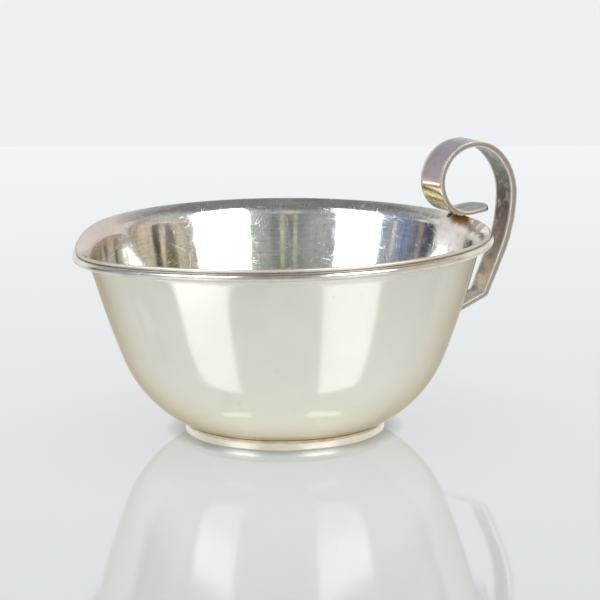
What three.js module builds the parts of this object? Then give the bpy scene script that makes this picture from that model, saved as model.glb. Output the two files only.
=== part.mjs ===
import * as THREE from "three";

// A silver cream boat: a round bowl raised from one sheet, with a pouring lip drawn out of its rim,
// a wire soldered on under the flared edge, a ring foot, and a flat strap handle that rises from the wall
// and scrolls down onto the rim. Millimetres, +Z up. The lip points along -X and the handle along +X.

// Bowl, as the outside of its section from the middle of the bottom to the edge.
// A run goes straight on for its length, and an arc turns to a heading in degrees from the table.
const sheetThickness = 0.8;
const bottomHeight = 0.85;
const bowlSteps = [
  { run: 18.9 },
  { radius: 13, to: 25.5 },
  { radius: 31, to: 69 },
  { radius: 220, to: 76.19 },
  { radius: 5.5, to: 38 },
  { run: 1.1 },
];

// Pouring lip and rim. Each half width is the angle from its own centre at which a pull has fallen to 37%.
const rimRadius = 52;
const lipPull = { length: 7.9, halfWidth: 23.8 };
const rimPinch = { length: 6, halfWidth: 33.5 };
const lipDrop = { length: 1.8, halfWidth: 43 };
const handleDrop = { length: 0.5, halfWidth: 60 };
const pullStartHeight = 33;
const pullFullHeight = 47.2;

// Wire under the flared edge, round but for the flat filed on it where it meets the sheet.
const wireRadius = 0.98;
const wireHeight = 47.72;
const seamGap = 0.05;

// Foot ring, narrower at its top by the batter, and the hollow fillet of solder between it and the bowl.
const footRadius = 24.85;
const footWidth = 1.5;
const footCornerRadius = 0.3;
const footBatter = 0.05;
const footFilletReach = 0.65;
const footFilletDepth = 0.6;
const footFilletHollow = 0.16;

// Strap handle, along its middle line from the wall to the tongue.
const strapRootHeight = 22.6;
const strapRootHeading = 21.6;
const strapSteps = [
  { run: 15.4 },
  { radius: 1.7, to: 65 },
  { run: 10.7 },
  { radius: 36, to: 90 },
  { radius: 14.7, to: 140 },
  { radius: 10.7, to: 190 },
  { radius: 9.8, to: 240 },
  { radius: 8.9, to: 300 },
  { radius: 7.4, to: 367 },
  { run: 2.9 },
];
const tongueRoundLength = 3.9;
const tongueRoundAngles = [20, 40, 58, 72, 83];
const strapWidth = { root: 6.9, scroll: 10.6, widensFrom: 25, widensTo: 90 };
const strapThickness = { root: 1.2, back: 1.6, tongue: 0.85 };
const strapThickening = { from: 10, to: 30 };
const strapThinsFrom = 45;
const strapCornerShare = 0.38;

// Solder at the strap's root and under its scroll.
const rootSolderThickness = 0.45;
const rootSolderReach = 0.7;
const rootSolderTopReach = 0.35;
const rimSolderHalfWidth = 0.45;
const rimSolderLength = 4.8;

// How finely the curves are divided.
const turnSegments = 96;
const largestTurn = THREE.MathUtils.degToRad(9);
const longestArcPiece = 4.8;
const edgeRoundAngles = [-45, 0, 45];
const cornerDivisions = 2;
const wireDivisions = 5;
const filletDivisions = 3;
const solderDivisions = 4;

// Follows straight runs and tangent arcs in one plane, and returns the places passed with their headings.
function followPath(start, startHeading, steps) {
  const places = [{ x: start.x, z: start.y, heading: THREE.MathUtils.degToRad(startHeading), travelled: 0 }];
  for (const step of steps) {
    const before = places.at(-1);
    const turn = step.radius ? THREE.MathUtils.degToRad(step.to) - before.heading : 0;
    const length = step.radius ? step.radius * Math.abs(turn) : step.run;
    const pieces = step.radius
      ? Math.ceil(Math.max(Math.abs(turn) / largestTurn, length / longestArcPiece))
      : 1;
    const chord = step.radius ? 2 * step.radius * Math.sin(Math.abs(turn) / pieces / 2) : length;
    for (let piece = 0; piece < pieces; piece += 1) {
      const last = places.at(-1);
      const middleHeading = last.heading + turn / pieces / 2;
      places.push({
        x: last.x + chord * Math.cos(middleHeading),
        z: last.z + chord * Math.sin(middleHeading),
        heading: last.heading + turn / pieces,
        travelled: last.travelled + length / pieces,
      });
    }
  }
  return places;
}

// The point at a distance to the left of a place, seen along its heading.
function leftOf(place, distance) {
  return new THREE.Vector2(
    place.x - distance * Math.sin(place.heading),
    place.z + distance * Math.cos(place.heading),
  );
}

// The place between two neighbours where the given coordinate reaches a value.
function placeWhere(places, coordinate, value) {
  const next = places.findIndex((place) => place[coordinate] > value);
  const before = places[next - 1];
  const after = places[next];
  const share = (value - before[coordinate]) / (after[coordinate] - before[coordinate]);
  return {
    x: THREE.MathUtils.lerp(before.x, after.x, share),
    z: THREE.MathUtils.lerp(before.z, after.z, share),
    heading: THREE.MathUtils.lerp(before.heading, after.heading, share),
  };
}

// A profile of radius and height turned about the upright axis of the bowl.
function turned(profile) {
  return new THREE.LatheGeometry(profile, turnSegments).rotateX(Math.PI / 2);
}

function bell(angle, { length, halfWidth }) {
  return length * Math.exp(-((THREE.MathUtils.radToDeg(angle) / halfWidth) ** 2));
}

// Draws the lip out of a turned shape, with the rim pinched in beside it and dropping towards it,
// and lets the rim give a little under the handle. The pull fades out down the wall.
function drawLip(geometry) {
  const position = geometry.getAttribute("position");
  const vertex = new THREE.Vector3();
  for (let i = 0; i < position.count; i += 1) {
    vertex.fromBufferAttribute(position, i);
    const share = (vertex.z - pullStartHeight) / (pullFullHeight - pullStartHeight);
    const pull = THREE.MathUtils.clamp(share, 0, 1) ** 2;
    const fromLip = Math.atan2(vertex.y, -vertex.x);
    const fromHandle = Math.atan2(vertex.y, vertex.x);
    const outwards = bell(fromLip, lipPull) - bell(fromLip, rimPinch);
    const drop = bell(fromLip, lipDrop) + bell(fromHandle, handleDrop);
    const radius = Math.hypot(vertex.x, vertex.y);
    const stretch = radius > 0 ? 1 + (pull * outwards) / radius : 1;
    position.setXYZ(i, vertex.x * stretch, vertex.y * stretch, vertex.z - pull * drop);
  }
  return geometry;
}

// Skins a row of rings that have the same number of points, and closes both ends.
function skinned(rings) {
  const size = rings[0].length;
  const corners = rings.flat().flatMap((point) => point.toArray());
  const faces = [];
  for (let ring = 0; ring < rings.length - 1; ring += 1) {
    for (let side = 0; side < size; side += 1) {
      const here = ring * size + side;
      const beside = ring * size + ((side + 1) % size);
      faces.push(here, beside, beside + size, here, beside + size, here + size);
    }
  }
  const lastRing = (rings.length - 1) * size;
  for (let side = 1; side < size - 1; side += 1) {
    faces.push(0, side + 1, side);
    faces.push(lastRing, lastRing + side, lastRing + side + 1);
  }
  const geometry = new THREE.BufferGeometry();
  geometry.setAttribute("position", new THREE.Float32BufferAttribute(corners, 3));
  geometry.setIndex(faces);
  return geometry;
}

// A rounded rectangle across the strap. The centre and the through direction lie in the XZ plane.
function strapRing(centre, through, width, thickness) {
  const corner = thickness * strapCornerShare;
  const points = [];
  for (let quarter = 0; quarter < 4; quarter += 1) {
    const sideY = quarter === 0 || quarter === 3 ? 1 : -1;
    const sideThrough = quarter < 2 ? 1 : -1;
    for (let step = 0; step <= cornerDivisions; step += 1) {
      const angle = ((quarter + step / cornerDivisions) * Math.PI) / 2;
      const across = sideY * (width / 2 - corner) + corner * Math.cos(angle);
      const depth = sideThrough * (thickness / 2 - corner) + corner * Math.sin(angle);
      points.push(new THREE.Vector3(centre.x + depth * through.x, across, centre.y + depth * through.y));
    }
  }
  return points;
}

const bowlOutside = followPath(new THREE.Vector2(0, bottomHeight), 0, bowlSteps);
const bowlEdge = bowlOutside.at(-1);

function bowl() {
  const edgeCentre = leftOf(bowlEdge, sheetThickness / 2);
  const edgeRound = edgeRoundAngles.map((degrees) => {
    const direction = bowlEdge.heading + THREE.MathUtils.degToRad(degrees);
    return new THREE.Vector2(Math.cos(direction), Math.sin(direction))
      .multiplyScalar(sheetThickness / 2)
      .add(edgeCentre);
  });
  const outside = bowlOutside.map((place) => leftOf(place, 0));
  const inside = bowlOutside.map((place) => leftOf(place, sheetThickness)).reverse();
  return drawLip(turned([...outside, ...edgeRound, ...inside]));
}

function rimWire() {
  const centre = new THREE.Vector2(rimRadius - wireRadius, wireHeight);
  const towardsSheet = bowlEdge.heading + Math.PI / 2;
  const sheetDirection = new THREE.Vector2(Math.cos(towardsSheet), Math.sin(towardsSheet));
  const flatDistance = leftOf(bowlEdge, 0).sub(centre).dot(sheetDirection) - seamGap;
  const flatHalfAngle = Math.acos(flatDistance / wireRadius);
  const section = new THREE.Path().absarc(
    centre.x,
    centre.y,
    wireRadius,
    towardsSheet + flatHalfAngle,
    towardsSheet - flatHalfAngle + 2 * Math.PI,
  );
  const profile = section.getPoints(wireDivisions);
  return drawLip(turned([...profile, profile[0]]));
}

function footRing() {
  const topRadius = footRadius - footBatter;
  const innerRadius = footRadius - footWidth;
  const section = new THREE.Path()
    .moveTo(innerRadius + footCornerRadius, 0)
    .lineTo(footRadius - footCornerRadius, 0)
    .quadraticCurveTo(footRadius, 0, footRadius, footCornerRadius)
    .lineTo(topRadius, placeWhere(bowlOutside, "x", topRadius).z - seamGap)
    .lineTo(innerRadius, placeWhere(bowlOutside, "x", innerRadius).z - seamGap)
    .lineTo(innerRadius, footCornerRadius)
    .quadraticCurveTo(innerRadius, 0, innerRadius + footCornerRadius, 0);
  return turned(section.getPoints(cornerDivisions));
}

function footSolder() {
  const innerRadius = footRadius - footBatter + seamGap;
  const outerRadius = innerRadius + footFilletReach;
  const innerTop = placeWhere(bowlOutside, "x", innerRadius).z - seamGap;
  const outerTop = placeWhere(bowlOutside, "x", outerRadius).z - seamGap;
  const lowerRadius = innerRadius + (footBatter * footFilletDepth) / (innerTop - footCornerRadius);
  const section = new THREE.Path()
    .moveTo(lowerRadius, innerTop - footFilletDepth)
    .quadraticCurveTo(innerRadius + footFilletHollow, innerTop, outerRadius, outerTop)
    .lineTo(innerRadius, innerTop)
    .lineTo(lowerRadius, innerTop - footFilletDepth);
  return turned(section.getPoints(filletDivisions));
}

// The strap's root is cut to lie along the wall, and a plate of solder with sloping sides holds it there.
const rootWall = placeWhere(bowlOutside, "z", strapRootHeight);
const alongWall = new THREE.Vector2(Math.cos(rootWall.heading), Math.sin(rootWall.heading));
const rootCutAngle = rootWall.heading - THREE.MathUtils.degToRad(strapRootHeading);
const strapRoot = leftOf(rootWall, -(2 * seamGap + rootSolderThickness));
const strapLine = followPath(strapRoot, strapRootHeading, strapSteps);

function widthAt(travelled) {
  const share = THREE.MathUtils.smoothstep(travelled, strapWidth.widensFrom, strapWidth.widensTo);
  return THREE.MathUtils.lerp(strapWidth.root, strapWidth.scroll, share);
}

// The lower run is the thinnest part before the bend, and from the back the strap thins to its tongue.
function thicknessAt(travelled) {
  const { root, back, tongue } = strapThickness;
  if (travelled < strapThinsFrom) {
    const share = THREE.MathUtils.smoothstep(travelled, strapThickening.from, strapThickening.to);
    return THREE.MathUtils.lerp(root, back, share);
  }
  return THREE.MathUtils.mapLinear(travelled, strapThinsFrom, strapLine.at(-1).travelled, back, tongue);
}

function handleStrap() {
  const rings = strapLine.map((place) => {
    const through = new THREE.Vector2(-Math.sin(place.heading), Math.cos(place.heading));
    return strapRing(leftOf(place, 0), through, widthAt(place.travelled), thicknessAt(place.travelled));
  });
  const rootThrough = alongWall.clone().divideScalar(Math.sin(rootCutAngle));
  rings[0] = strapRing(strapRoot, rootThrough, strapWidth.root, strapThickness.root);

  const end = strapLine.at(-1);
  const direction = new THREE.Vector2(Math.cos(end.heading), Math.sin(end.heading));
  const through = new THREE.Vector2(-direction.y, direction.x);
  for (const degrees of tongueRoundAngles) {
    const angle = THREE.MathUtils.degToRad(degrees);
    const centre = leftOf(end, 0).addScaledVector(direction, tongueRoundLength * Math.sin(angle));
    rings.push(strapRing(centre, through, strapWidth.scroll * Math.cos(angle), strapThickness.tongue));
  }
  return skinned(rings);
}

function handleWallSolder() {
  const height = strapThickness.root / Math.sin(rootCutAngle);
  const base = strapRing(
    leftOf(rootWall, -seamGap),
    alongWall,
    strapWidth.root + 2 * rootSolderReach,
    height + 2 * rootSolderReach,
  );
  const top = strapRing(
    leftOf(rootWall, -(seamGap + rootSolderThickness)),
    alongWall,
    strapWidth.root + 2 * rootSolderTopReach,
    height + 2 * rootSolderTopReach,
  );
  return skinned([base, top]);
}

// The solder fills the narrow space between the bowl's rounded edge and the scroll's round underside.
function handleRimSolder() {
  const edgeCentre = leftOf(bowlEdge, sheetThickness / 2).add(new THREE.Vector2(0, -handleDrop.length));
  const lastArc = strapSteps.at(-2);
  const arcEnd = strapLine.at(-2);
  const arcTurn = THREE.MathUtils.degToRad(lastArc.to - strapSteps.at(-3).to);
  const thicknessThere = thicknessAt(arcEnd.travelled - lastArc.radius * arcTurn);
  const scrollCentre = leftOf(arcEnd, lastArc.radius);
  const scrollRadius = lastArc.radius + thicknessThere / 2 + 2 * seamGap;
  const edgeFilletRadius = sheetThickness / 2 + 2 * seamGap;
  const edgeAngle = Math.asin(rimSolderHalfWidth / edgeFilletRadius);
  const scrollAngleOf = (x) => -Math.acos((x - scrollCentre.x) / scrollRadius);
  const section = new THREE.Shape()
    .absarc(
      edgeCentre.x,
      edgeCentre.y,
      edgeFilletRadius,
      Math.PI / 2 + edgeAngle,
      Math.PI / 2 - edgeAngle,
      true,
    )
    .absarc(
      scrollCentre.x,
      scrollCentre.y,
      scrollRadius,
      scrollAngleOf(edgeCentre.x + rimSolderHalfWidth),
      scrollAngleOf(edgeCentre.x - rimSolderHalfWidth),
      true,
    );
  const settings = { depth: rimSolderLength, bevelEnabled: false, curveSegments: solderDivisions };
  return new THREE.ExtrudeGeometry(section, settings)
    .rotateX(Math.PI / 2)
    .translate(0, rimSolderLength / 2, 0);
}

function silver(color, roughness) {
  return new THREE.MeshStandardMaterial({ color, roughness, metalness: 1 });
}

const polishedSilver = silver(0xd9d5c9, 0.18);
const handledSilver = silver(0xb9aeab, 0.3);
const solderedSilver = silver(0xa89a84, 0.4);

const creamBoat = new THREE.Group();

function addPiece(name, geometry, material) {
  const piece = new THREE.Mesh(geometry, material);
  piece.name = name;
  creamBoat.add(piece);
}

addPiece("bowl", bowl(), polishedSilver);
addPiece("rim_wire", rimWire(), polishedSilver);
addPiece("foot_ring", footRing(), polishedSilver);
addPiece("foot_solder", footSolder(), solderedSilver);
addPiece("handle_strap", handleStrap(), handledSilver);
addPiece("handle_wall_solder", handleWallSolder(), solderedSilver);
addPiece("handle_rim_solder", handleRimSolder(), solderedSilver);

// The origin is under the middle of the whole length, between the tip of the lip and the strap's scroll.
const extent = new THREE.Box3().setFromObject(creamBoat);
creamBoat.position.x = -(extent.min.x + extent.max.x) / 2;

export default creamBoat;
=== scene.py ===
import math

import bpy
import bmesh
import numpy as np
from mathutils import Matrix, Vector


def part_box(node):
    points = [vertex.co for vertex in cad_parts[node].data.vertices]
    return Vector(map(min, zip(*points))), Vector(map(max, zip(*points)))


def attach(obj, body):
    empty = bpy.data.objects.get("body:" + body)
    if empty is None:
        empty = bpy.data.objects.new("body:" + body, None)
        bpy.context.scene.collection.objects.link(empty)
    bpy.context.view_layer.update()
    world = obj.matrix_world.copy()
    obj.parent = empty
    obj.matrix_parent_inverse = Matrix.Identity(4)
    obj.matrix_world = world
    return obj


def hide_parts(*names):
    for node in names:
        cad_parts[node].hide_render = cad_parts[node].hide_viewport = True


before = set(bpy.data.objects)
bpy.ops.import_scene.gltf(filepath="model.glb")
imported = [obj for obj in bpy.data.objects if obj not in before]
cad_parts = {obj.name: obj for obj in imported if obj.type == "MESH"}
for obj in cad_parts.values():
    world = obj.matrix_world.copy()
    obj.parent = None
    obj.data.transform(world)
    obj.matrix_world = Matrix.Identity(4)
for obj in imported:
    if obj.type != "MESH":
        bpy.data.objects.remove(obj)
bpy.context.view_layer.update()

mm = 0.001
footLow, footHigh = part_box("foot_ring")
bowlAxisX = (footLow.x + footHigh.x) / 2  # the bowl turns about this upright line
mergeDistance = 0.001 * mm  # points closer than this are one


# Ways of working

def deselectAll():
    if bpy.context.object and bpy.context.object.mode != "OBJECT":
        bpy.ops.object.mode_set(mode="OBJECT")
    bpy.ops.object.select_all(action="DESELECT")


def selectOnly(piece):
    deselectAll()
    piece.select_set(True)
    bpy.context.view_layer.objects.active = piece


def startPoint(name, place):
    # one vertex to draw from, left selected in edit mode
    deselectAll()
    bpy.ops.mesh.primitive_plane_add(size=mm, location=place)
    bpy.ops.object.transform_apply(location=True, rotation=True, scale=True)
    piece = bpy.context.object
    piece.name = name
    piece.data.name = name
    bpy.ops.object.mode_set(mode="EDIT")
    bpy.ops.mesh.select_all(action="SELECT")
    bpy.ops.mesh.merge(type="CENTER")
    return piece


def drawOn(points):
    for here, there in zip(points, points[1:]):
        bpy.ops.mesh.extrude_region_move(TRANSFORM_OT_translate={"value": there - here})


def faceOutwards(piece):
    selectOnly(piece)
    bpy.ops.object.mode_set(mode="EDIT")
    bpy.ops.mesh.select_all(action="SELECT")
    bpy.ops.mesh.normals_make_consistent(inside=False)
    bpy.ops.object.mode_set(mode="OBJECT")


def spinProfile(name, profile, turns, closed=False):
    # profile is radius and height in mm; the section is drawn at the front and spun about the bowl's axis
    points = [Vector((bowlAxisX + radius * mm, 0, height * mm)) for radius, height in profile]
    if closed:
        points.append(points[0])
    piece = startPoint(name, points[0])
    drawOn(points)
    bpy.ops.mesh.select_all(action="SELECT")
    bpy.ops.mesh.remove_doubles(threshold=mergeDistance)
    bpy.ops.mesh.select_all(action="SELECT")
    bpy.ops.mesh.spin(steps=turns, angle=math.tau, center=(bowlAxisX, 0, 0), axis=(0, 0, 1))
    bpy.ops.mesh.select_all(action="SELECT")
    bpy.ops.mesh.remove_doubles(threshold=mergeDistance)
    faceOutwards(piece)
    return piece


def smooth(piece, angle=40):
    selectOnly(piece)
    bpy.ops.object.shade_smooth_by_angle(angle=math.radians(angle))


def applyModifiers(piece):
    selectOnly(piece)
    for modifier in list(piece.modifiers):
        bpy.ops.object.modifier_apply(modifier=modifier.name)


def followPath(start, heading, steps, spacing, turnLimit=2.5):
    # straight runs and tangent arcs in mm; each place is x, z, heading and the way travelled
    places = [(start[0], start[1], math.radians(heading), 0.0)]
    for step in steps:
        turned = places[-1][2]
        turn = math.radians(step["to"]) - turned if "radius" in step else 0.0
        length = step["radius"] * abs(turn) if "radius" in step else step["run"]
        count = max(1, math.ceil(length / spacing), math.ceil(abs(turn) / math.radians(turnLimit)))
        half = turn / count / 2
        chord = 2 * step["radius"] * math.sin(abs(half)) if "radius" in step else length / count
        for _ in range(count):
            x, z, heading, travelled = places[-1]
            middle = heading + half
            places.append((x + chord * math.cos(middle), z + chord * math.sin(middle),
                           heading + 2 * half, travelled + length / count))
    return places


def leftOf(place, distance):
    x, z, heading, _ = place
    return x - distance * math.sin(heading), z + distance * math.cos(heading)


def curveBetween(start, corner, end, count):
    # a smooth bend from start to end that turns at the corner
    points = []
    for step in range(count + 1):
        t = step / count
        points.append(tuple(start * (1 - t) ** 2 + corner * 2 * t * (1 - t) + end * t ** 2))
    return points


# Camera, at the place from which the photograph was taken

view = {"location": (-300.012, -564.805, 160.570), "turn": (78.5883, 0.6082, -27.9896),
        "lens": 157.071, "sensor": 36, "nearest": 10, "farthest": 20000}

deselectAll()
bpy.ops.object.camera_add(location=Vector(view["location"]) * mm,
                          rotation=[math.radians(angle) for angle in view["turn"]])
camera = bpy.context.object
camera.data.lens = view["lens"]
camera.data.sensor_width = view["sensor"]
camera.data.clip_start = view["nearest"] * mm
camera.data.clip_end = view["farthest"] * mm
bpy.context.scene.camera = camera
cameraAzimuth = math.degrees(math.atan2(camera.location.x - bowlAxisX, -camera.location.y))
print("camera set")


# Lip and rim

lip = {
    "pull": (7.9, 23.8),  # reach in mm, and the angle at which it has fallen to 37%
    "pinch": (6.0, 33.5),
    "drop": (1.8, 43.0),
    "handleDrop": (0.5, 60.0),
    "pullStart": 33.0,
    "pullFull": 47.2,
    "pullPower": 2,
}


def bell(angle, form):
    return form[0] * math.exp(-((math.degrees(angle) / form[1]) ** 2))


def drawLip(piece):
    # pulls the lip out of a turned shape towards -X, pinches the rim beside it and lets it drop a little
    for vertex in piece.data.vertices:
        x, y, z = (vertex.co - Vector((bowlAxisX, 0, 0))) / mm
        share = (z - lip["pullStart"]) / (lip["pullFull"] - lip["pullStart"])
        pull = min(1.0, max(0.0, share)) ** lip["pullPower"]
        radius = math.hypot(x, y)
        if pull == 0 or radius == 0:
            continue
        fromLip = math.atan2(y, -x)
        fromHandle = math.atan2(y, x)
        outwards = bell(fromLip, lip["pull"]) - bell(fromLip, lip["pinch"])
        drop = bell(fromLip, lip["drop"]) + bell(fromHandle, lip["handleDrop"])
        stretch = 1 + pull * outwards / radius
        vertex.co = Vector((bowlAxisX + x * stretch * mm, y * stretch * mm, (z - pull * drop) * mm))
    piece.data.update()


# Bowl

bowlForm = {
    "bottom": 0.85,
    "sheet": 0.8,
    "steps": [
        {"run": 18.9},
        {"radius": 13, "to": 25.5},
        {"radius": 31, "to": 69},
        {"radius": 220, "to": 76.19},
        {"radius": 5.5, "to": 38},
        {"run": 1.1},
    ],
    "spacing": 1.1,
    "turns": 192,
    "edgeTurns": 6,
    "smoothAngle": 50,
    "flatInside": 21,  # within this radius every face that looks up is inside
}

wall = followPath((0, bowlForm["bottom"]), 0, bowlForm["steps"], bowlForm["spacing"])
edge = wall[-1]
edgeX, edgeZ = leftOf(edge, bowlForm["sheet"] / 2)
edgeRound = []
for turn in range(1, bowlForm["edgeTurns"]):
    angle = edge[2] - math.pi / 2 + math.pi * turn / bowlForm["edgeTurns"]
    edgeRound.append((edgeX + bowlForm["sheet"] / 2 * math.cos(angle),
                      edgeZ + bowlForm["sheet"] / 2 * math.sin(angle)))
outside = [leftOf(place, 0) for place in wall]
inside = [leftOf(place, bowlForm["sheet"]) for place in reversed(wall)]
bowl = spinProfile("bowl_sheet", outside + edgeRound + inside, bowlForm["turns"])
drawLip(bowl)
smooth(bowl, bowlForm["smoothAngle"])
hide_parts("bowl")
print("bowl raised", len(bowl.data.polygons), "faces")


# Wire under the edge

wire = {"radius": 0.98, "rimRadius": 52.0, "height": 47.72, "seam": 0.05, "turns": 192, "round": 26}

wireX = wire["rimRadius"] - wire["radius"]
wireZ = wire["height"]
sheetSide = edge[2] + math.pi / 2
edgeDistance = (edge[0] - wireX) * math.cos(sheetSide) + (edge[1] - wireZ) * math.sin(sheetSide)
flatHalf = math.acos((edgeDistance - wire["seam"]) / wire["radius"])
wireSection = []
for turn in range(wire["round"] + 1):
    angle = sheetSide + flatHalf + (math.tau - 2 * flatHalf) * turn / wire["round"]
    wireSection.append((wireX + wire["radius"] * math.cos(angle),
                        wireZ + wire["radius"] * math.sin(angle)))
rimWire = spinProfile("rim_bead", wireSection, wire["turns"], closed=True)
drawLip(rimWire)
smooth(rimWire)
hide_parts("rim_wire")
print("wire laid under the edge")


# Foot

foot = {"radius": 24.85, "width": 1.5, "corner": 0.3, "topCorner": 0.1, "cornerSteps": 4,
        "batter": 0.05, "seam": 0.05, "turns": 192,
        "filletReach": 0.65, "filletDepth": 0.6, "filletHollow": 0.16, "filletSteps": 6}


def wallHeightAt(radius):
    for before, after in zip(wall, wall[1:]):
        if after[0] >= radius:
            share = (radius - before[0]) / (after[0] - before[0])
            return before[1] + share * (after[1] - before[1])


def roundCorner(number, reach):
    # points of a quarter round that takes the place of a corner of the foot's section
    before, corner, after = (Vector(footCorners[(number + step) % 4]) for step in (-1, 0, 1))
    start = corner + (before - corner).normalized() * reach
    end = corner + (after - corner).normalized() * reach
    return curveBetween(start, corner, end, foot["cornerSteps"])


footInner = foot["radius"] - foot["width"]
footTop = foot["radius"] - foot["batter"]
footCorners = [
    (footInner, 0), (foot["radius"], 0),
    (footTop, wallHeightAt(footTop) - foot["seam"]),
    (footInner, wallHeightAt(footInner) - foot["seam"]),
]
footSection = (roundCorner(0, foot["corner"]) + roundCorner(1, foot["corner"])
               + roundCorner(2, foot["topCorner"]) + [footCorners[3]])
footRing = spinProfile("foot_band", footSection, foot["turns"], closed=True)
smooth(footRing)
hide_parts("foot_ring")

filletInner = footTop + foot["seam"]
filletOuter = filletInner + foot["filletReach"]
filletTop = wallHeightAt(filletInner) - foot["seam"]
filletLower = filletInner + foot["batter"] * foot["filletDepth"] / (filletTop - foot["corner"])
filletStart = Vector((filletLower, filletTop - foot["filletDepth"]))
filletBend = Vector((filletInner + foot["filletHollow"], filletTop))
filletEnd = Vector((filletOuter, wallHeightAt(filletOuter) - foot["seam"]))
filletSection = curveBetween(filletStart, filletBend, filletEnd, foot["filletSteps"])
filletSection.append((filletInner, filletTop))
footSolder = spinProfile("foot_seam_solder", filletSection, foot["turns"], closed=True)
smooth(footSolder)
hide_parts("foot_solder")
print("foot and its solder turned")


# Strap handle

strap = {
    "rootHeight": 22.6,
    "rootHeading": 21.6,
    "steps": [
        {"run": 15.4},
        {"radius": 1.7, "to": 65},
        {"run": 10.7},
        {"radius": 36, "to": 90},
        {"radius": 14.7, "to": 140},
        {"radius": 10.7, "to": 190},
        {"radius": 9.8, "to": 240},
        {"radius": 8.9, "to": 300},
        {"radius": 7.4, "to": 367},
        {"run": 2.9},
    ],
    "spacing": 1.0,
    "tongueRound": 3.9,
    "tongueAngles": (8, 16, 24, 32, 40, 48, 56, 63, 70, 76, 81, 85, 88),
    "rootWidth": 6.9,
    "scrollWidth": 10.6,
    "widens": (25, 90),
    "rootThickness": 1.2,
    "backThickness": 1.6,
    "tongueThickness": 0.85,
    "thickens": (10, 30),
    "thinsFrom": 45,
    "intoWall": 1.6,
    "cutReach": 3.0,
    "edgeRound": 0.4,
    "edgeSegments": 3,
    "edgeAngle": 50,
    "edgeBandShare": 1.2,  # width of the edge band, which carries a painted highlight, by the edge's round
    "faceDepth": 0.35,  # beyond this from the middle, a vertex is wholly on one face
    "across": 8,
    "solder": 0.45,
    "seam": 0.05,
}


def smoothStep(value, low, high):
    share = min(1.0, max(0.0, (value - low) / (high - low)))
    return share * share * (3 - 2 * share)


rootPlace = None
for before, after in zip(wall, wall[1:]):
    if after[1] > strap["rootHeight"] and rootPlace is None:
        share = (strap["rootHeight"] - before[1]) / (after[1] - before[1])
        rootPlace = tuple(a + share * (b - a) for a, b in zip(before, after))
strapRoot = leftOf(rootPlace, -(2 * strap["seam"] + strap["solder"]))
strapLine = followPath(strapRoot, strap["rootHeading"], strap["steps"], strap["spacing"])
strapEnd = strapLine[-1]


def strapWidthAt(travelled):
    share = smoothStep(travelled, *strap["widens"])
    return strap["rootWidth"] + share * (strap["scrollWidth"] - strap["rootWidth"])


def strapThicknessAt(travelled):
    if travelled < strap["thinsFrom"]:
        share = smoothStep(travelled, *strap["thickens"])
        return strap["rootThickness"] + share * (strap["backThickness"] - strap["rootThickness"])
    share = min(1.0, (travelled - strap["thinsFrom"]) / (strapEnd[3] - strap["thinsFrom"]))
    return strap["backThickness"] + share * (strap["tongueThickness"] - strap["backThickness"])


heading = strapLine[0][2]
# each row across the strap is x, z, width and thickness in mm
rows = [(strapRoot[0] - strap["intoWall"] * math.cos(heading),
         strapRoot[1] - strap["intoWall"] * math.sin(heading),
         strap["rootWidth"], strap["rootThickness"])]
for place in strapLine:
    rows.append((place[0], place[1], strapWidthAt(place[3]), strapThicknessAt(place[3])))
for degrees in strap["tongueAngles"]:
    angle = math.radians(degrees)
    reach = strap["tongueRound"] * math.sin(angle)
    rows.append((strapEnd[0] + reach * math.cos(strapEnd[2]),
                 strapEnd[1] + reach * math.sin(strapEnd[2]),
                 strap["scrollWidth"] * math.cos(angle), strap["tongueThickness"]))

halfWidth = strap["scrollWidth"] / 2
line = [Vector((bowlAxisX + row[0] * mm, -halfWidth * mm, row[1] * mm)) for row in rows]
handle = startPoint("strap_handle", line[0])
drawOn(line)
bpy.ops.mesh.select_all(action="SELECT")
for _ in range(strap["across"]):
    step = strap["scrollWidth"] / strap["across"] * mm
    bpy.ops.mesh.extrude_region_move(TRANSFORM_OT_translate={"value": (0, step, 0)})
bpy.ops.object.mode_set(mode="OBJECT")

rowPlaces = np.array([(row[0], row[1]) for row in rows])
thickest = strap["backThickness"]
group = handle.vertex_groups.new(name="gauge")
for vertex in handle.data.vertices:
    place = np.array([(vertex.co.x - bowlAxisX) / mm, vertex.co.z / mm])
    row = rows[int(np.argmin(((rowPlaces - place) ** 2).sum(axis=1)))]
    vertex.co.y *= row[2] / strap["scrollWidth"]
    group.add([vertex.index], row[3] / thickest, "REPLACE")
faceOutwards(handle)
solidify = handle.modifiers.new("gauge", "SOLIDIFY")
solidify.thickness = thickest * mm
solidify.offset = 0
solidify.vertex_group = "gauge"
solidify.use_even_offset = True
applyModifiers(handle)

# the root is cut off along the wall
wallNormal = Vector((math.sin(rootPlace[2]), 0, -math.cos(rootPlace[2])))
cutPoint = Vector((bowlAxisX + strapRoot[0] * mm, 0, strapRoot[1] * mm))
bpy.ops.object.mode_set(mode="EDIT")
bpy.ops.mesh.select_mode(type="FACE")
bpy.ops.mesh.select_all(action="DESELECT")
bm = bmesh.from_edit_mesh(handle.data)
for face in bm.faces:
    face.select = abs(face.calc_center_median().z - cutPoint.z) < strap["cutReach"] * mm
bm.select_flush_mode()
bmesh.update_edit_mesh(handle.data)
bpy.ops.mesh.bisect(plane_co=cutPoint, plane_no=wallNormal, use_fill=True, clear_inner=True)
bpy.ops.mesh.select_mode(type="VERT")
faceOutwards(handle)
bevel = handle.modifiers.new("filed", "BEVEL")
bevel.width = strap["edgeRound"] * mm
bevel.segments = strap["edgeSegments"]
bevel.limit_method = "ANGLE"
bevel.angle_limit = math.radians(strap["edgeAngle"])
applyModifiers(handle)
smooth(handle)
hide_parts("handle_strap")

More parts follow.
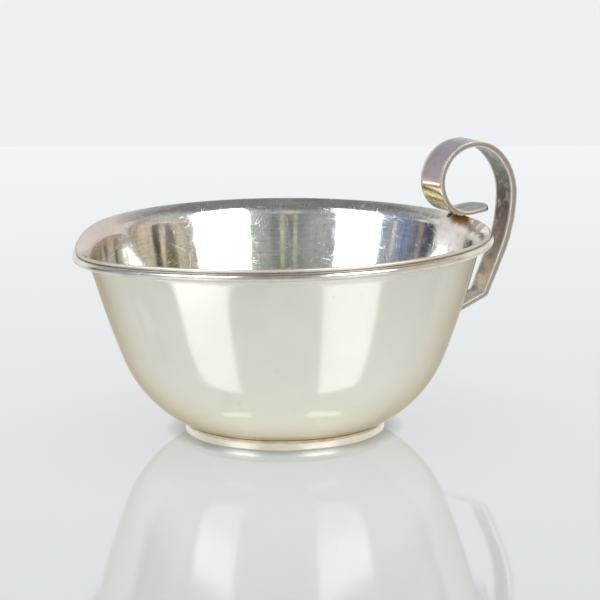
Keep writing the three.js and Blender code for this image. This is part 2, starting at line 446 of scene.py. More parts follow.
# the strap's finish follows how far along it each vertex lies, on which face, and whether at an edge
linePlaces = np.array([(place[0], place[1]) for place in strapLine])
lineWay = np.array([place[3] for place in strapLine])
lineHeading = np.array([place[2] for place in strapLine])
for label in ("along", "inner", "edge"):
    handle.data.attributes.new(label, "FLOAT", "POINT")
along, inner, atEdge = (handle.data.attributes[label] for label in ("along", "inner", "edge"))
for vertex in handle.data.vertices:
    place = np.array([(vertex.co.x - bowlAxisX) / mm, vertex.co.z / mm])
    nearest = int(np.argmin(((linePlaces - place) ** 2).sum(axis=1)))
    offset = place - linePlaces[nearest]
    side = -offset[0] * math.sin(lineHeading[nearest]) + offset[1] * math.cos(lineHeading[nearest])
    along.data[vertex.index].value = lineWay[nearest] / strapEnd[3]
    inner.data[vertex.index].value = 0.5 + 0.5 * max(-1.0, min(1.0, side / strap["faceDepth"]))
    fromEdge = strapWidthAt(lineWay[nearest]) / 2 - abs(vertex.co.y) / mm
    highlitEdge = fromEdge < strap["edgeRound"] * strap["edgeBandShare"]
    atEdge.data[vertex.index].value = 1.0 if highlitEdge else 0.0
print("strap forged", len(handle.data.polygons), "faces")


# Solder at the strap's root and under its scroll

rootSolder = {"reach": 0.7, "topReach": 0.35, "round": 0.16, "segments": 3, "smoothAngle": 50}

wallUp = Vector((math.cos(rootPlace[2]), 0, math.sin(rootPlace[2])))
plateHeight = strap["rootThickness"] / math.sin(rootPlace[2] - strapLine[0][2])
plateCentre = leftOf(rootPlace, -(strap["seam"] + strap["solder"] / 2))
deselectAll()
bpy.ops.mesh.primitive_cube_add(size=1)
wallSolder = bpy.context.object
wallSolder.name = wallSolder.data.name = "root_solder_plate"
across = (strap["rootWidth"] + 2 * rootSolder["reach"]) * mm
tall = (plateHeight + 2 * rootSolder["reach"]) * mm
deep = strap["solder"] * mm
frameOfPlate = Matrix((
    (wallNormal.x * deep, 0, wallUp.x * tall, bowlAxisX + plateCentre[0] * mm),
    (0, across, 0, 0),
    (wallNormal.z * deep, 0, wallUp.z * tall, plateCentre[1] * mm),
    (0, 0, 0, 1),
))
narrowY = (strap["rootWidth"] + 2 * rootSolder["topReach"]) * mm / across
narrowZ = (plateHeight + 2 * rootSolder["topReach"]) * mm / tall
bpy.ops.object.mode_set(mode="EDIT")
bm = bmesh.from_edit_mesh(wallSolder.data)
for vertex in bm.verts:
    vertex.select = vertex.co.x > 0  # the side away from the wall
bm.select_flush_mode()
bmesh.update_edit_mesh(wallSolder.data)
bpy.ops.transform.resize(value=(1, narrowY, narrowZ), center_override=(0.5, 0, 0))
bpy.ops.object.mode_set(mode="OBJECT")
wallSolder.data.transform(frameOfPlate)
bevel = wallSolder.modifiers.new("flowed", "BEVEL")
bevel.width = rootSolder["round"] * mm
bevel.segments = rootSolder["segments"]
applyModifiers(wallSolder)
faceOutwards(wallSolder)
smooth(wallSolder, rootSolder["smoothAngle"])
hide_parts("handle_wall_solder")

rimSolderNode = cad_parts["handle_rim_solder"]
print("solder run in")


# Materials

def feed(owner, socket, value):
    # a socket takes a link, a colour or a number
    if isinstance(value, bpy.types.NodeSocket):
        owner.node_tree.links.new(value, socket)
    elif socket.type == "RGBA":
        socket.default_value = (*value, 1)
    else:
        socket.default_value = value


def addNode(owner, kind, inputs=None, **settings):
    node = owner.node_tree.nodes.new(kind)
    for name, value in settings.items():
        setattr(node, name, value)
    for name, value in (inputs or {}).items():
        feed(owner, node.inputs[name], value)
    return node


def mathNode(owner, operation, first, second=0.5, third=0.5, clamp=False):
    return addNode(owner, "ShaderNodeMath", {0: first, 1: second, 2: third},
                   operation=operation, use_clamp=clamp).outputs[0]


def objectPlaces(material, stretch=(1, 1, 1), turn=(0, 0, 0)):
    # a texture mapping turns a pattern first, and then draws it out along the turned axes
    texture = addNode(material, "ShaderNodeTexCoord")
    mapping = addNode(material, "ShaderNodeMapping", {
        "Vector": texture.outputs["Object"], "Scale": stretch,
        "Rotation": [math.radians(angle) for angle in turn]}, vector_type="TEXTURE")
    return mapping.outputs["Vector"]


def placeAlong(material, axis, turn=(0, 0, 0)):
    return addNode(material, "ShaderNodeSeparateXYZ", {
        "Vector": objectPlaces(material, turn=turn)}).outputs[axis]


def distanceFrom(material, place):
    return addNode(material, "ShaderNodeVectorMath", {0: objectPlaces(material), 1: place},
                   operation="DISTANCE").outputs["Value"]


def noiseOf(material, form, turn=(0, 0, 0)):
    return addNode(material, "ShaderNodeTexNoise", {
        "Vector": objectPlaces(material, form.get("stretch", (1, 1, 1)), turn), "Scale": form["scale"],
        "Detail": form["detail"], "Roughness": form["roughness"]}).outputs["Fac"]


def spread(owner, value, low, high, toLow=0.0, toHigh=1.0):
    return addNode(owner, "ShaderNodeMapRange", {
        "Value": value, "From Min": low, "From Max": high,
        "To Min": toLow, "To Max": toHigh}).outputs["Result"]


def patches(material, form, turn=(0, 0, 0), **changes):
    # noise that fades in, from where its value reaches start to where it reaches full
    form = {**form, **changes}
    return spread(material, noiseOf(material, form, turn), form["start"], form["full"],
                  form.get("low", 0), form.get("high", 1))


def wandering(material, form):
    # noise to both sides of nought
    offset = mathNode(material, "SUBTRACT", noiseOf(material, form), noiseMiddle)
    return mathNode(material, "MULTIPLY", offset, form["reach"])


def mixColours(material, share, first, second):
    return addNode(material, "ShaderNodeMix", {0: share, 6: first, 7: second}, data_type="RGBA").outputs[2]


def colourAlong(material, value, stops):
    ramp = addNode(material, "ShaderNodeValToRGB", {"Fac": value})
    elements = ramp.color_ramp.elements
    while len(elements) > 1:
        elements.remove(elements[-1])
    firstPlace, firstColour = stops[0]
    elements[0].position = firstPlace
    elements[0].color = (*firstColour, 1)
    for position, colour in stops[1:]:
        elements.new(position).color = (*colour, 1)
    return ramp.outputs["Color"]


def scratchLines(material, turn, form):
    # noise drawn out along two axes crosses its middle in flat sheets, which meet the metal in thin lines
    drawn = noiseOf(material, form["lines"], turn)
    away = mathNode(material, "ABSOLUTE", mathNode(material, "SUBTRACT", drawn, noiseMiddle))
    line = spread(material, away, 0, form["thin"], 1, 0)
    return mathNode(material, "MULTIPLY", line, patches(material, form["gate"], turn))


def allScratches(material, form):
    found = None
    for turn in form["turns"]:
        lines = scratchLines(material, turn, form)
        found = lines if found is None else mathNode(material, "MAXIMUM", found, lines)
    return found


def addRelief(material, shader, form, height):
    relief = addNode(material, "ShaderNodeBump", {
        "Height": noiseOf(material, form), "Strength": 1.0, "Distance": height * mm})
    feed(material, shader.inputs["Normal"], relief.outputs["Normal"])


def newFinish(name, metallic):
    material = bpy.data.materials.new(name)
    material.use_nodes = True
    shader = material.node_tree.nodes["Principled BSDF"]
    shader.inputs["Metallic"].default_value = metallic
    return material, shader


noiseMiddle = 0.5

# what all the silver has in common; the finishes below give the rest
silverPatterns = {
    "film": {"detail": 5, "roughness": 0.55, "start": 0.35, "full": 0.7},
    "rings": {"detail": 3, "roughness": 0.6, "stretch": (11, 11, 1), "start": 0.45, "full": 0.65},
    "ringPatches": {"scale": 55, "detail": 4, "roughness": 0.6, "start": 0.4, "full": 0.6,
                    "low": 0.05, "high": 0.45},
    "lipCloud": {"scale": 90, "detail": 3, "roughness": 0.5, "reach": 16},
    "reflectionStreaks": {"detail": 3, "roughness": 0.5, "stretch": (1, 1, 7), "start": 0.48, "full": 0.68,
                "high": 0.6},
    "specks": {"detail": 3, "roughness": 0.6, "start": 0.66, "full": 0.74},
    "dullness": {"detail": 5, "roughness": 0.65, "start": 0.3, "full": 0.7},
    "waves": {"detail": 1, "roughness": 0.4},
}

# every spot, stain and painted light alike, is whole up to one share of its size and gone at the other
stainAndPaintedLightForm = {"scale": 380, "detail": 4, "roughness": 0.65, "whole": 0.55, "gone": 1.05,
             "strength": 0.9, "dullness": 0.3}


def lipShare(material, form):
    # grows towards the lip and up to the edge, with a cloudy border
    cloud = mathNode(material, "MULTIPLY", noiseOf(material, silverPatterns["lipCloud"]),
                     silverPatterns["lipCloud"]["reach"] * mm)
    place = mathNode(material, "ADD", placeAlong(material, "X"), cloud)
    towardsLip = spread(material, place, form["lipFrom"] * mm, form["lipTo"] * mm)
    lipLow, lipHigh = form["lipHeight"]
    upwards = spread(material, placeAlong(material, "Z"), lipLow * mm, lipHigh * mm)
    return mathNode(material, "MULTIPLY", towardsLip, upwards)


def stainAndPaintedLightShare(material, place, size, ragged):
    border = mathNode(material, "MULTIPLY", noiseOf(material, stainAndPaintedLightForm), size * ragged)
    away = mathNode(material, "ADD", distanceFrom(material, place), border)
    return spread(material, away, size * (stainAndPaintedLightForm["whole"] + ragged / 2),
                  size * (stainAndPaintedLightForm["gone"] + ragged / 2), stainAndPaintedLightForm["strength"], 0)


def silverFinish(name, form):
    # clean metal under a thin uneven film, with wiping scratches and the slow waves that a hammer leaves,
    # and the painted light, reflections and shade that a form lists
    material, shader = newFinish(name, metallic=1)
    film = patches(material, silverPatterns["film"], scale=form["filmScale"])
    colour = mixColours(material, film, form["clean"], form["film"])
    # a tone that takes over towards the bottom; on the outside it is painted light
    if "lowTone" in form:
        low = spread(material, placeAlong(material, "Z"), form["lowFrom"] * mm, form["lowTo"] * mm, 1, 0)
        colour = mixColours(material, low, colour, form["lowTone"])
    if "rings" in form:
        # fine level lines, as polishing leaves them
        lines = patches(material, silverPatterns["rings"], scale=form["ringScale"])
        shown = patches(material, silverPatterns["ringPatches"])
        colour = mixColours(material, mathNode(material, "MULTIPLY", lines, shown), colour, form["rings"])
    # painted reflection: a pinkish tint towards the lip
    if "lipReflection" in form:
        colour = mixColours(material, lipShare(material, form), colour, form["lipReflection"])
    # painted reflection: faint upright streaks
    if "reflectionStreaks" in form:
        reflectionStreaks = patches(material, silverPatterns["reflectionStreaks"], scale=form["reflectionStreakScale"])
        colour = mixColours(material, reflectionStreaks, colour, form["reflectionStreaks"])
    dull = None
    # stains, painted reflections and painted shade, each a ragged spot
    for place, size, ragged, stainAndPaintedLightColour in form.get("stainsAndPaintedLight", []):
        stainAndPaintedLight = stainAndPaintedLightShare(material, place, size, ragged)
        colour = mixColours(material, stainAndPaintedLight, colour, stainAndPaintedLightColour)
        dull = stainAndPaintedLight if dull is None else mathNode(material, "MAXIMUM", dull, stainAndPaintedLight)
    specks = patches(material, silverPatterns["specks"], **form["specks"])
    colour = mixColours(material, specks, colour, form["speckColour"])
    shader.inputs["Base Color"].default_value = (*form["clean"], 1)
    feed(material, shader.inputs["Base Color"], colour)

    smoothest, roughest = form["roughness"]
    rough = patches(material, silverPatterns["dullness"], scale=form["roughScale"],
                    low=smoothest, high=roughest)
    scratches = mathNode(material, "MULTIPLY", allScratches(material, form["scratches"]),
                         form["scratchRoughness"])
    rough = mathNode(material, "ADD", rough, scratches)
    if dull is not None:
        dulled = mathNode(material, "MULTIPLY", dull, stainAndPaintedLightForm["dullness"])
        rough = mathNode(material, "ADD", rough, dulled)
    if "seamRoughness" in form:
        underWire = spread(material, placeAlong(material, "Z"), form["seamFrom"] * mm, form["seamTo"] * mm,
                           0, form["seamRoughness"])
        rough = mathNode(material, "ADD", rough, underWire)
    feed(material, shader.inputs["Roughness"], rough)
    # painted shade towards the outline, where a form asks for it
    if "grazing" in form:
        shader.inputs["Specular Tint"].default_value = (*form["grazing"], 1)
    addRelief(material, shader, {**silverPatterns["waves"], "scale": form["waveScale"]}, form["waveHeight"])
    return material


wiping = {"lines": {"scale": 980, "detail": 0, "roughness": 0.5, "stretch": (1, 32, 32)}, "thin": 0.013,
          "gate": {"scale": 320, "detail": 1, "roughness": 0.5, "start": 0.54, "full": 0.59},
          "turns": [(0, 35, 20), (0, -40, 65), (0, 15, 110), (0, 70, -30), (0, -75, -75), (30, 10, 150)]}
handling = {"lines": {"scale": 700, "detail": 0, "roughness": 0.5, "stretch": (1, 25, 25)}, "thin": 0.02,
            "gate": {"scale": 320, "detail": 1, "roughness": 0.5, "start": 0.58, "full": 0.63},
            "turns": [(0, 50, 10), (0, -30, 80), (0, 10, -50)]}
contactLow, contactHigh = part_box("handle_rim_solder")
contact = (contactLow + contactHigh) / 2

# lengths and heights are in mm
insideSilver = silverFinish("mirror_silver", {
    "clean": (0.91, 0.88, 0.83), "film": (0.72, 0.71, 0.66), "filmScale": 110,
    # darker and more olive towards the bottom
    "lowTone": (0.72, 0.71, 0.59), "lowFrom": 32, "lowTo": 41,
    "rings": (0.52, 0.53, 0.45), "ringScale": 1600,
    # painted reflection: a pinkish tint over the inside of the lip
    "lipReflection": (0.7, 0.57, 0.51), "lipFrom": -12, "lipTo": -28, "lipHeight": (41, 46),
    "seamFrom": 45, "seamTo": 46.5, "seamRoughness": 0.04,
    # spots round the solder spot: place, size, raggedness and colour; the two pale patches and the two
    # brown spots of the strip are painted reflections of the strap, the three orange spots are partly
    # tarnish and partly a painted reflection of the gold scroll, and the black spot is painted shade where
    # the strap meets the rim
    "stainsAndPaintedLight": [(contact + Vector((-3.4, -6.2, -4.6)) * mm, 6.4 * mm, 0.2, (0.95, 0.87, 0.79)),
               (contact + Vector((-2.4, 1.2, -4.2)) * mm, 5.6 * mm, 0.3, (0.93, 0.85, 0.78)),
               (contact + Vector((-4.0, -17, -0.9)) * mm, 2.8 * mm, 0.9, (0.58, 0.49, 0.42)),
               (contact + Vector((-2.4, -11.5, -0.9)) * mm, 3.6 * mm, 0.9, (0.48, 0.39, 0.32)),
               (contact + Vector((-1.3, -7.2, -0.7)) * mm, 2.6 * mm, 1.2, (0.64, 0.42, 0.22)),
               (contact + Vector((-0.9, -3.8, -0.9)) * mm, 2.7 * mm, 1.4, (0.68, 0.36, 0.12)),
               (contact + Vector((-0.9, -0.6, -1.2)) * mm, 2.4 * mm, 1.4, (0.58, 0.33, 0.14)),
               (contact + Vector((-1.0, 3.0, -0.4)) * mm, 1.1 * mm, 1.4, (0.1, 0.06, 0.04))],
    "specks": {"scale": 620, "start": 0.55, "full": 0.63, "high": 0.3}, "speckColour": (0.5, 0.47, 0.41),
    "scratches": wiping,
    "roughScale": 260, "roughness": (0.04, 0.14), "scratchRoughness": 0.25,
    "waveScale": 75, "waveHeight": 0.045,
})
outsideSilver = silverFinish("satin_silver", {
    "clean": (0.885, 0.845, 0.755), "film": (0.84, 0.785, 0.69), "filmScale": 40,
    "grazing": (0.6, 0.54, 0.44),  # painted shade: the metal darkens towards its outline
    # painted light: paler and yellower towards the foot, for the bright floor that the lower wall mirrors
    "lowTone": (0.93, 0.87, 0.73), "lowFrom": 3, "lowTo": 24,
    "seamFrom": 44.3, "seamTo": 45.3, "seamRoughness": 0.32,
    # painted reflection: faint upright streaks
    "reflectionStreaks": (0.83, 0.76, 0.67), "reflectionStreakScale": 70,
    "specks": {"scale": 420, "high": 0.2}, "speckColour": (0.55, 0.5, 0.42),
    "scratches": wiping,
    "roughScale": 70, "roughness": (0.09, 0.14), "scratchRoughness": 0.08,
    "waveScale": 50, "waveHeight": 0.02,
})
footSilver = silverFinish("foot_silver", {
    "clean": (0.84, 0.78, 0.65), "film": (0.76, 0.68, 0.53), "filmScale": 120,
    "specks": {"scale": 420, "high": 0.3}, "speckColour": (0.6, 0.5, 0.38),
    "scratches": handling,
    "roughScale": 150, "roughness": (0.27, 0.35), "scratchRoughness": 0.08,
    "waveScale": 140, "waveHeight": 0.01,
})
rimSilver = silverFinish("rim_silver", {
    "clean": (0.89, 0.83, 0.74), "film": (0.68, 0.6, 0.52), "filmScale": 120,
    "specks": {"scale": 500, "high": 0.4}, "speckColour": (0.4, 0.33, 0.3),
    "scratches": handling,
    "roughScale": 150, "roughness": (0.13, 0.22), "scratchRoughness": 0.1,
    "waveScale": 140, "waveHeight": 0.01,
})
solderSilver = silverFinish("solder_silver", {
    "clean": (0.78, 0.67, 0.52), "film": (0.55, 0.41, 0.27), "filmScale": 260,
    "specks": {"scale": 900, "high": 0.6}, "speckColour": (0.3, 0.21, 0.14),
    "scratches": handling,
    "roughScale": 300, "roughness": (0.25, 0.45), "scratchRoughness": 0.1,
    "waveScale": 500, "waveHeight": 0.03,
})


strapTarnishAndPaintedLight = {
    # outer face, by the share of the strap's length from the wall; the two narrow pale bands at 0.825 and
    # 0.867 are painted reflections of the soft boxes
    "outer": [(0.0, (0.7, 0.67, 0.62)), (0.3, (0.66, 0.62, 0.6)), (0.5, (0.42, 0.4, 0.42)),
              (0.6, (0.36, 0.335, 0.385)), (0.7, (0.31, 0.275, 0.335)), (0.79, (0.4, 0.34, 0.355)),
              (0.815, (0.44, 0.37, 0.36)),
              (0.825, (0.7, 0.6, 0.52)), (0.84, (0.44, 0.37, 0.24)), (0.86, (0.46, 0.38, 0.22)),
              (0.867, (0.62, 0.53, 0.35)), (0.877, (0.43, 0.35, 0.2)), (0.9, (0.46, 0.37, 0.22)),
              (0.93, (0.38, 0.32, 0.25)), (1.0, (0.42, 0.41, 0.39))],
    # face towards the bowl and inside the scroll
    "inner": [(0.0, (0.42, 0.35, 0.28)), (0.12, (0.42, 0.35, 0.28)), (0.2, (0.64, 0.55, 0.44)),
              (0.3, (0.27, 0.22, 0.17)), (0.42, (0.12, 0.092, 0.075)), (0.52, (0.19, 0.175, 0.145)),
              (0.6, (0.42, 0.42, 0.37)), (0.85, (0.4, 0.39, 0.37)), (1.0, (0.24, 0.26, 0.25))],
    "wander": {"scale": 160, "detail": 4, "roughness": 0.6, "reach": 0.03},
    "mottle": {"scale": 260, "detail": 5, "roughness": 0.65, "start": 0.47, "full": 0.62, "high": 0.36},
    "mottleInside": 2.4,  # times as strong on the inner face
    "mottleColour": (0.2, 0.165, 0.155),
    "bare": {"scale": 380, "detail": 5, "roughness": 0.7, "start": 0.53, "full": 0.62, "high": 0.4},
    "bareColour": (0.66, 0.6, 0.52),
    "edgeColour": (0.36, 0.3, 0.27),
    "corner": (0.25, 0.45, 0.15, 1),  # the painted highlight is strongest at the edge's two corners
    # painted highlight: bright lines along the corners of the strap's edge
    "highlitEdge": {"scale": 300, "detail": 4, "roughness": 0.6, "start": 0.3, "full": 0.6, "low": 0.5},
    "highlitEdgeColour": (0.95, 0.88, 0.78),
    "dullness": {"scale": 200, "detail": 4, "roughness": 0.6, "start": 0.3, "full": 0.7,
                 "low": 0.12, "high": 0.24},
    "innerRoughness": 0.12,
    "edgeRoughness": 0.14,
    "scratchRoughness": 0.12,
    "grain": {"scale": 420, "detail": 3, "roughness": 0.5},
    "grainHeight": 0.0015,
}


def strapFinish():
    material, shader = newFinish("tarnished_strap_with_painted_light", metallic=1)
    alongStrap, innerFace, atEdge = (
        addNode(material, "ShaderNodeAttribute", attribute_name=label).outputs["Fac"]
        for label in ("along", "inner", "edge"))
    shifted = mathNode(material, "ADD", alongStrap, wandering(material, strapTarnishAndPaintedLight["wander"]))
    colour = mixColours(material, innerFace, colourAlong(material, shifted, strapTarnishAndPaintedLight["outer"]),
                        colourAlong(material, shifted, strapTarnishAndPaintedLight["inner"]))
    moreInside = spread(material, innerFace, 0, 1, 1, strapTarnishAndPaintedLight["mottleInside"])
    mottle = mathNode(material, "MULTIPLY", patches(material, strapTarnishAndPaintedLight["mottle"]), moreInside)
    colour = mixColours(material, mottle, colour, strapTarnishAndPaintedLight["mottleColour"])
    bare = mathNode(material, "MULTIPLY", patches(material, strapTarnishAndPaintedLight["bare"]), innerFace)
    colour = mixColours(material, bare, colour, strapTarnishAndPaintedLight["bareColour"])
    colour = mixColours(material, atEdge, colour, strapTarnishAndPaintedLight["edgeColour"])
    fromMiddle = mathNode(material, "ABSOLUTE", mathNode(material, "SUBTRACT", innerFace, 0.5))
    # painted highlight: bright lines along the corners of the strap's edge
    highlitEdge = mathNode(material, "MULTIPLY", atEdge, patches(material, strapTarnishAndPaintedLight["highlitEdge"]))
    highlitEdge = mathNode(material, "MULTIPLY", highlitEdge, spread(material, fromMiddle, *strapTarnishAndPaintedLight["corner"]))
    colour = mixColours(material, highlitEdge, colour, strapTarnishAndPaintedLight["highlitEdgeColour"])
    feed(material, shader.inputs["Base Color"], colour)

    rough = patches(material, strapTarnishAndPaintedLight["dullness"])
    for share, added in ((innerFace, "innerRoughness"), (atEdge, "edgeRoughness"),
                         (allScratches(material, handling), "scratchRoughness")):
        rough = mathNode(material, "ADD", rough, mathNode(material, "MULTIPLY", share, strapTarnishAndPaintedLight[added]))
    feed(material, shader.inputs["Roughness"], rough)
    addRelief(material, shader, strapTarnishAndPaintedLight["grain"], strapTarnishAndPaintedLight["grainHeight"])
    return material


strapSilver = strapFinish()


def dress(piece, *materials):
    piece.data.materials.clear()
    for material in materials:
        piece.data.materials.append(material)


dress(bowl, outsideSilver, insideSilver)
for face in bowl.data.polygons:
    outward = Vector((face.center.x - bowlAxisX, face.center.y, 0))
    onFlat = outward.length < bowlForm["flatInside"] * mm and face.normal.z > 0
    face.material_index = 1 if onFlat or face.normal.dot(outward) < 0 else 0
dress(rimWire, rimSilver)
dress(footRing, footSilver)
dress(footSolder, solderSilver)
dress(handle, strapSilver)
dress(wallSolder, solderSilver)
dress(rimSolderNode, solderSilver)
for piece, slotName in ((bowl, "polished_silver"), (rimWire, "polished_silver"),
                        (footRing, "polished_silver"), (footSolder, "silver_solder"),
                        (handle, "handled_silver"), (wallSolder, "silver_solder")):
    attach(piece, "root")
print("finishes on")


# Floor, background and light, in metres

studio = {
    "floorColour": (0.22, 0.228, 0.23), "floorGlow": (0.36, 0.378, 0.379),
    "floorRoughness": 0.06, "floorIor": 1.68,
    "floorGrain": {"scale": 6, "detail": 3, "roughness": 0.5, "start": 0.3, "full": 0.7},
    "grainPaler": 1.02,
    # painted light: in mirrors the floor glows brighter near the bowl and dimmer far off than straight on;
    # distance from the bowl's axis, share
    "mirrorGlow": [(0.035, 1.72), (0.11, 1.33), (0.22, 0.6)],
    "contactShade": (0.0252, 0.0302, 0.3),  # the floor darkens towards the foot that stands on it
    "background": (0.85, 0.87, 0.89), "ambient": 0.95,
    "floorFront": 0.9, "floorBack": 0.497, "floorSide": 1.2, "floorTurn": -4,
    "topLight": (0.0, -0.2, 1.6, 1.4, 6.0),  # right, front, height, size, watts
    "panelColour": (0.95, 1.0, 1.12), "panelGlow": 4.4,
    "panelRound": 0.16, "panelSegments": 6,
}

# corners of the soft boxes: azimuth, distance and height
softBoxes = {
    "right_box": {"innerBottom": (20, 1.28, 0.3), "outerBottom": (57.5, 0.785, 0.18),
                  "innerTop": (36, 1.28, 2.15), "outerTop": (68.5, 0.785, 0.79)},
    "left_box": {"innerBottom": (-34.5, 1.4, 0.33), "outerBottom": (-64, 1.3, 0.3),
                 "innerTop": (-42.5, 1.4, 2.15), "outerTop": (-75.5, 1.3, 1.21)},
}

# tones of the plain screen round the front, by azimuth; only what mirrors shows it
screenTones = [(-114, (0.95, 0.92, 0.86)), (-110.5, (0.6, 0.57, 0.52)), (-107, (0.08, 0.09, 0.14)),
               (-98, (0.12, 0.12, 0.15)),
               (-86, (0.27, 0.33, 0.47)), (-79, (0.42, 0.47, 0.6)), (-35, (0.5, 0.55, 0.56)),
               (-18, (0.47, 0.51, 0.5)), (-9, (0.26, 0.28, 0.26)), (4, (0.25, 0.27, 0.25)),
               (14, (0.53, 0.57, 0.54)), (60, (0.66, 0.62, 0.52)), (80, (0.83, 0.75, 0.61)),
               (98, (0.9, 0.79, 0.63)), (107, (0.56, 0.49, 0.41)), (114, (0.72, 0.68, 0.64))]
screen = {
    "radius": 1.7, "low": -0.25, "high": 2.2, "ends": (-114, 114), "steps": 96,
    "strength": (0.2, 1.6, 0.85, 1.1),  # from the first height to the second, between these shares
    "tints": [(0.5, 1.0, 0.6, (0.36, 0.42, 0.5)), (1.3, 2.1, 1.0, (0.3, 0.31, 0.32))],
    "wander": {"scale": 2.2, "detail": 3, "roughness": 0.5, "reach": 0.25},
    "clouds": {"scale": 7, "detail": 4, "roughness": 0.65, "start": 0.5, "full": 0.62, "high": 0.3},
    "cloudColour": (0.2, 0.21, 0.19),
    "cardGap": 0.1,
}

# narrow upright cards in front of the screen: azimuth, width in degrees, bottom, top, colour
stripCards = {
    "pale_strip": (-76, 2.2, 0.1, 0.52, (0.8, 0.78, 0.75)),
    "blue_strip": (-84, 1.6, 0.1, 0.5, (0.12, 0.2, 0.6)),
    "grey_strip": (-97, 4.0, 0.1, 0.66, (0.38, 0.34, 0.33)),
    "first_stand": (-8.2, 2.6, 0.1, 0.78, (0.56, 0.56, 0.49)),
    "second_stand": (0.2, 2.6, 0.1, 0.78, (0.62, 0.62, 0.54)),
    "high_side": (-104, 9, 0.72, 1.02, (0.95, 0.88, 0.8)),
    "high_middle": (-6, 13, 0.9, 1.6, (0.66, 0.62, 0.52)),
}

# the ceiling is dark over the bowl and paler towards the back
ceiling = {
    "front": 1.7, "back": -2.6, "side": 3.0, "height": screen["high"],
    "fadeFrom": 0.8, "fadeTo": 2.4, "overBowl": (0.24, 0.24, 0.25), "atBack": (0.7, 0.69, 0.68),
}


def around(azimuth, distance, height, sideways=0.0):
    # a place seen from the bowl's axis; azimuth 0 is towards the camera, and sideways runs to the right
    angle = math.radians(azimuth + cameraAzimuth)
    out = Vector((math.sin(angle), -math.cos(angle), 0))
    right = Vector((math.cos(angle), math.sin(angle), 0))
    return Vector((bowlAxisX, 0, height)) + out * distance + right * sideways


def seenInMirrorsOnly(piece):
    piece.visible_camera = False
    piece.visible_diffuse = False
    piece.visible_shadow = False


def glowing(name, colour=(1, 1, 1), strength=1.0):
    material = bpy.data.materials.new(name)
    material.use_nodes = True
    material.node_tree.nodes.clear()
    glow = addNode(material, "ShaderNodeEmission", {"Color": colour, "Strength": strength})
    addNode(material, "ShaderNodeOutputMaterial", {"Surface": glow.outputs[0]})
    return material, glow


def uprightCard(name, corners, material):
    # corners are bottom left, bottom right, top left and top right
    deselectAll()
    bpy.ops.mesh.primitive_plane_add(size=1)
    card = bpy.context.object
    card.name = card.data.name = name
    for vertex, corner in zip(card.data.vertices, corners):
        vertex.co = corner
    card.data.materials.append(material)
    seenInMirrorsOnly(card)
    return card


def softBox(name, form):
    corners = [around(*form[corner]) for corner in ("innerBottom", "outerBottom", "innerTop", "outerTop")]
    material, _ = glowing(name, studio["panelColour"], studio["panelGlow"])
    box = uprightCard(name, corners, material)
    bpy.ops.object.mode_set(mode="EDIT")
    bpy.ops.mesh.select_mode(type="VERT")
    bpy.ops.mesh.select_all(action="DESELECT")
    bm = bmesh.from_edit_mesh(box.data)
    bm.verts.ensure_lookup_table()
    bm.verts[3].select = True  # the outer top corner
    bmesh.update_edit_mesh(box.data)
    bpy.ops.mesh.bevel(affect="VERTICES", offset=studio["panelRound"], segments=studio["panelSegments"])
    bpy.ops.object.mode_set(mode="OBJECT")


def roomScreen():
    # an upright line swept round the front of the bowl
    firstEnd, lastEnd = screen["ends"]
    bottom = around(firstEnd, screen["radius"], screen["low"])
    top = around(firstEnd, screen["radius"], screen["high"])
    piece = startPoint("room_screen", bottom)
    drawOn([bottom, top])
    bpy.ops.mesh.select_all(action="SELECT")
    bpy.ops.mesh.spin(steps=screen["steps"], angle=math.radians(firstEnd - lastEnd),
                      center=(bowlAxisX, 0, 0), axis=(0, 0, 1))
    bpy.ops.object.mode_set(mode="OBJECT")
    material, glow = glowing("room_screen")
    texture = addNode(material, "ShaderNodeTexCoord")
    centred = addNode(material, "ShaderNodeMapping", {
        "Vector": texture.outputs["Object"], "Location": (-bowlAxisX, 0, 0)})
    places = addNode(material, "ShaderNodeSeparateXYZ", {"Vector": centred.outputs["Vector"]})
    backwards = mathNode(material, "MULTIPLY", places.outputs["Y"], -1)
    azimuth = mathNode(material, "ARCTAN2", places.outputs["X"], backwards)
    azimuth = mathNode(material, "SUBTRACT", azimuth, math.radians(cameraAzimuth))
    azimuth = mathNode(material, "WRAP", azimuth, math.pi, -math.pi)
    azimuth = mathNode(material, "ADD", azimuth, wandering(material, screen["wander"]))
    roundShare = spread(material, azimuth, -math.pi, math.pi)
    tones = colourAlong(material, roundShare, [((angle + 180) / 360, tone) for angle, tone in screenTones])
    for tintFrom, tintTo, tintShare, tintColour in screen["tints"]:
        tint = spread(material, places.outputs["Z"], tintFrom, tintTo, 0, tintShare)
        tones = mixColours(material, tint, tones, tintColour)
    tones = mixColours(material, patches(material, screen["clouds"]), tones, screen["cloudColour"])
    feed(material, glow.inputs["Color"], tones)
    feed(material, glow.inputs["Strength"], spread(material, places.outputs["Z"], *screen["strength"]))
    piece.data.materials.append(material)
    seenInMirrorsOnly(piece)


def ceilingCard():
    material, glow = glowing("ceiling")
    backwards = spread(material, placeAlong(material, "Y", turn=(0, 0, cameraAzimuth)),
                       ceiling["fadeFrom"], ceiling["fadeTo"])
    feed(material, glow.inputs["Color"],
         mixColours(material, backwards, ceiling["overBowl"], ceiling["atBack"]))
    corners = [around(0, ceiling[end], ceiling["height"], side * ceiling["side"])
               for end in ("front", "back") for side in (-1, 1)]
    uprightCard("ceiling", corners, material)


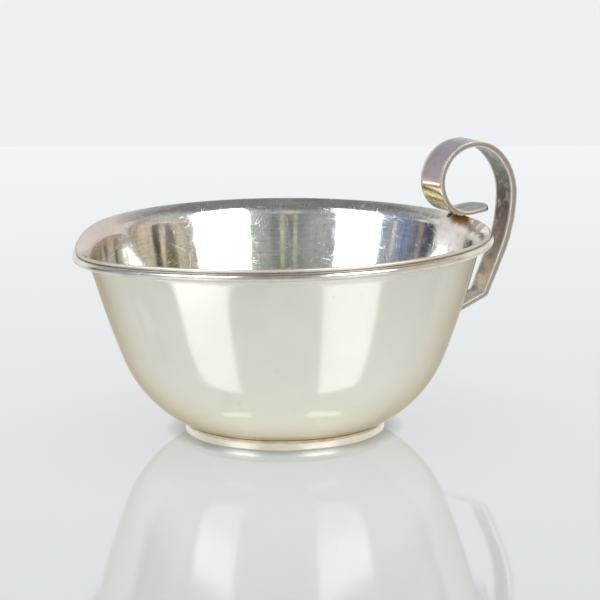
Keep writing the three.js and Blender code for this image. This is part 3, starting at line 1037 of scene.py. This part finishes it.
def floorFinish():
    # a pale glossy sheet that holds some light of its own, so that shadows on it stay soft
    material, shader = newFinish("pale_floor", metallic=0)
    paler = tuple(value * studio["grainPaler"] for value in studio["floorColour"])
    feed(material, shader.inputs["Base Color"],
         mixColours(material, patches(material, studio["floorGrain"]), studio["floorColour"], paler))
    shader.inputs["Roughness"].default_value = studio["floorRoughness"]
    shader.inputs["IOR"].default_value = studio["floorIor"]
    shader.inputs["Emission Color"].default_value = (*studio["floorGlow"], 1)
    fromAxis = distanceFrom(material, (bowlAxisX, 0, 0))
    lightPath = addNode(material, "ShaderNodeLightPath")
    # painted light: in mirrors the floor glows brighter near the bowl and dimmer far off than straight on
    (near, nearShare), (middle, middleShare), (far, farShare) = studio["mirrorGlow"]
    inMirror = spread(material, fromAxis, near, middle, nearShare - middleShare, 0)
    inMirror = mathNode(material, "ADD", inMirror,
                        spread(material, fromAxis, middle, far, middleShare, farShare))
    inMirror = mathNode(material, "MULTIPLY", lightPath.outputs["Is Glossy Ray"], inMirror)
    shadeStart, shadeEnd, shade = studio["contactShade"]
    inView = mathNode(material, "MULTIPLY", lightPath.outputs["Is Camera Ray"],
                      spread(material, fromAxis, shadeStart, shadeEnd, shade, 1))
    feed(material, shader.inputs["Emission Strength"], mathNode(material, "ADD", inView, inMirror))
    return material


deselectAll()
floorMiddle = (studio["floorFront"] - studio["floorBack"]) / 2
bpy.ops.mesh.primitive_plane_add(size=1, location=around(0, floorMiddle, 0))
floor = bpy.context.object
floor.name = "floor"
floor.scale = (2 * studio["floorSide"], studio["floorFront"] + studio["floorBack"], 1)
floor.rotation_euler = (0, 0, math.radians(cameraAzimuth + studio["floorTurn"]))
bpy.ops.object.transform_apply(location=True, rotation=True, scale=True)
floor.data.materials.append(floorFinish())

for name, form in softBoxes.items():
    softBox(name, form)
roomScreen()
for name, (azimuth, width, bottom, top, colour) in stripCards.items():
    corners = [around(azimuth + side * width / 2, screen["radius"] - screen["cardGap"], height)
               for height in (bottom, top) for side in (-1, 1)]
    uprightCard(name, corners, glowing(name, colour)[0])
ceilingCard()

right, front, height, size, watts = studio["topLight"]
deselectAll()
bpy.ops.object.light_add(type="AREA", location=around(0, front, height, right))
topLight = bpy.context.object
topLight.name = "top_light"
topLight.data.size = size
topLight.data.energy = watts
topLight.visible_camera = False
topLight.visible_glossy = False

# the world has full strength for what the camera, a mirror or clear glass sees, and less as light
world = bpy.data.worlds.new("studio")
bpy.context.scene.world = world
world.use_nodes = True
world.node_tree.nodes.clear()
lightPath = addNode(world, "ShaderNodeLightPath")
seen = mathNode(world, "ADD", lightPath.outputs["Is Camera Ray"], lightPath.outputs["Is Glossy Ray"])
seen = mathNode(world, "ADD", seen, lightPath.outputs["Is Transmission Ray"], clamp=True)
backdrop = addNode(world, "ShaderNodeBackground", {
    "Color": studio["background"], "Strength": spread(world, seen, 0, 1, studio["ambient"], 1)})
addNode(world, "ShaderNodeOutputWorld", {"Surface": backdrop.outputs[0]})
bpy.context.scene.view_settings.view_transform = "Standard"
print("floor and lights set")
